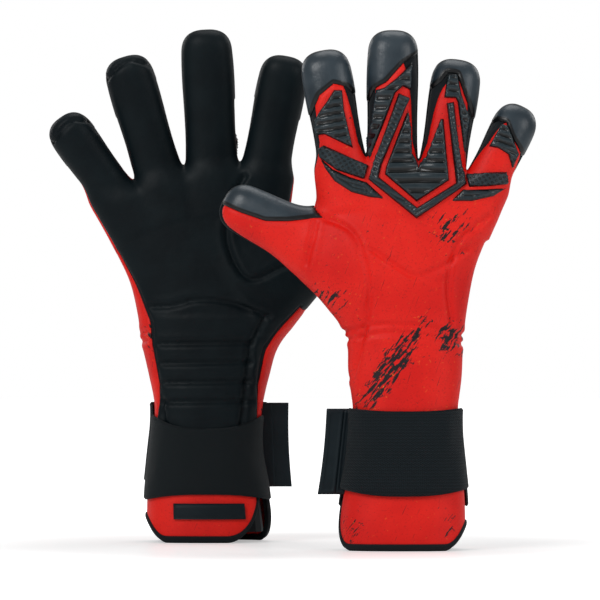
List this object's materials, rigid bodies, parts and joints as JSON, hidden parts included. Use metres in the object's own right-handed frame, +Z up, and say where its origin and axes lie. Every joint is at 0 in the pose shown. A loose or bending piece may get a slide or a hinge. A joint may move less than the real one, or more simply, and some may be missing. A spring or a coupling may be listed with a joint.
{
  "type": "football goalkeeper gloves",
  "caption": "Padded goalkeeper gloves with latex palms, silicone knuckle pads, flexing fingers and an opening wrist strap, standing on their cuffs.",
  "frame": {"origin": "on the level that the cuff hems stand on, under the middle of the pair's box", "axes": "+Z up the fingers, +X across the pair towards the glove that shows its back, -Y the side that the pair is seen from"},
  "size_m": [0.2732, 0.166, 0.2909],
  "materials": {
    "latex": "soft matt latex foam",
    "foam": "satin printed foam",
    "silicone": "glossy moulded silicone",
    "liner": "matt knit",
    "webbing": "matt woven elastic",
    "rubber": "satin moulded rubber"
  },
  "bodies": {
    "gloves": {"near_hand_liner": "liner", "near_palm_latex": "latex", "near_wear_panel": "latex", "near_back_panel": "foam", "near_knuckle_shield": "silicone", "near_index_pad": "silicone", "near_little_pad": "silicone", "near_cuff": "liner", "near_cuff_skirt": "foam", "near_hem_binding": "webbing", "near_pull_patch": "rubber", "near_wrist_band": "webbing", "far_hand_liner": "liner", "far_palm_latex": "latex", "far_wear_panel": "latex", "far_back_panel": "foam", "far_knuckle_shield": "silicone", "far_index_pad": "silicone", "far_little_pad": "silicone", "far_cuff": "liner", "far_cuff_skirt": "foam", "far_hem_binding": "webbing", "far_pull_patch": "rubber", "far_wrist_band": "webbing"},
    "near_index": {"near_index_stall": "liner", "near_index_latex": "latex", "near_index_back": "foam"},
    "near_middle": {"near_middle_stall": "liner", "near_middle_latex": "latex", "near_middle_back": "foam"},
    "near_ring": {"near_ring_stall": "liner", "near_ring_latex": "latex", "near_ring_back": "foam"},
    "near_little": {"near_little_stall": "liner", "near_little_latex": "latex", "near_little_back": "foam"},
    "near_thumb": {"near_thumb_stall": "liner", "near_thumb_latex": "latex", "near_thumb_back": "foam"},
    "near_strap": {"near_strap": "webbing", "near_hook_patch": "rubber"},
    "near_tab": {"near_pull_tab": "rubber"},
    "far_index": {"far_index_stall": "liner", "far_index_latex": "latex", "far_index_back": "foam"},
    "far_middle": {"far_middle_stall": "liner", "far_middle_latex": "latex", "far_middle_back": "foam"},
    "far_ring": {"far_ring_stall": "liner", "far_ring_latex": "latex", "far_ring_back": "foam"},
    "far_little": {"far_little_stall": "liner", "far_little_latex": "latex", "far_little_back": "foam"},
    "far_thumb": {"far_thumb_stall": "liner", "far_thumb_latex": "latex", "far_thumb_back": "foam"},
    "far_strap": {"far_strap": "webbing", "far_hook_patch": "rubber"},
    "far_tab": {"far_pull_tab": "rubber"}
  },
  "joints": [
    {"name": "near_index_flex", "type": "hinge", "parent": "gloves", "child": "near_index", "pos_m": [0.02875, -0.0425, 0.21074], "axis": [-0.9848, 0, -0.1736], "range_deg": [0, 60], "stiffness_Nm_per_rad": 0.03},
    {"name": "near_middle_flex", "type": "hinge", "parent": "gloves", "child": "near_middle", "pos_m": [0.05635, -0.0425, 0.21288], "axis": [-1, 0, 0.0087], "range_deg": [0, 60], "stiffness_Nm_per_rad": 0.03},
    {"name": "near_ring_flex", "type": "hinge", "parent": "gloves", "child": "near_ring", "pos_m": [0.08399, -0.0425, 0.21075], "axis": [-0.988, 0, 0.1547], "range_deg": [0, 60], "stiffness_Nm_per_rad": 0.03},
    {"name": "near_little_flex", "type": "hinge", "parent": "gloves", "child": "near_little", "pos_m": [0.10812, -0.0425, 0.20361], "axis": [-0.8949, 0, 0.4462], "range_deg": [0, 60], "stiffness_Nm_per_rad": 0.03},
    {"name": "near_thumb_flex", "type": "hinge", "parent": "gloves", "child": "near_thumb", "pos_m": [0.01293, -0.0425, 0.16852], "axis": [-0.4763, 0, -0.8793], "range_deg": [0, 45], "stiffness_Nm_per_rad": 0.03},
    {"name": "near_strap_swing", "type": "hinge", "parent": "gloves", "child": "near_strap", "pos_m": [0.09765, -0.05847, 0.055], "axis": [0, 0, 1], "range_deg": [0, 110]},
    {"name": "near_tab_bend", "type": "hinge", "parent": "near_strap", "child": "near_tab", "pos_m": [0.02508, -0.0617, 0.055], "axis": [0, 0, 1], "range_deg": [0, 80], "stiffness_Nm_per_rad": 0.01},
    {"name": "far_index_flex", "type": "hinge", "parent": "gloves", "child": "far_index", "pos_m": [-0.01539, 0.0425, 0.21012], "axis": [0.9816, 0, -0.1908], "range_deg": [0, 60], "stiffness_Nm_per_rad": 0.03},
    {"name": "far_middle_flex", "type": "hinge", "parent": "gloves", "child": "far_middle", "pos_m": [-0.04534, 0.0425, 0.21197], "axis": [0.999, 0, 0.0454], "range_deg": [0, 60], "stiffness_Nm_per_rad": 0.03},
    {"name": "far_ring_flex", "type": "hinge", "parent": "gloves", "child": "far_ring", "pos_m": [-0.07498, 0.0425, 0.20766], "axis": [0.9588, 0, 0.284], "range_deg": [0, 60], "stiffness_Nm_per_rad": 0.03},
    {"name": "far_little_flex", "type": "hinge", "parent": "gloves", "child": "far_little", "pos_m": [-0.10014, 0.0425, 0.19728], "axis": [0.8141, 0, 0.5807], "range_deg": [0, 60], "stiffness_Nm_per_rad": 0.03},
    {"name": "far_thumb_flex", "type": "hinge", "parent": "gloves", "child": "far_thumb", "pos_m": [0.00571, 0.0425, 0.15896], "axis": [0.5391, 0, -0.8423], "range_deg": [0, 45], "stiffness_Nm_per_rad": 0.03},
    {"name": "far_strap_swing", "type": "hinge", "parent": "gloves", "child": "far_strap", "pos_m": [-0.08255, 0.05847, 0.055], "axis": [0, 0, 1], "range_deg": [0, 110]},
    {"name": "far_tab_bend", "type": "hinge", "parent": "far_strap", "child": "far_tab", "pos_m": [-0.00997, 0.0617, 0.055], "axis": [0, 0, 1], "range_deg": [0, 80], "stiffness_Nm_per_rad": 0.01}
  ]
}
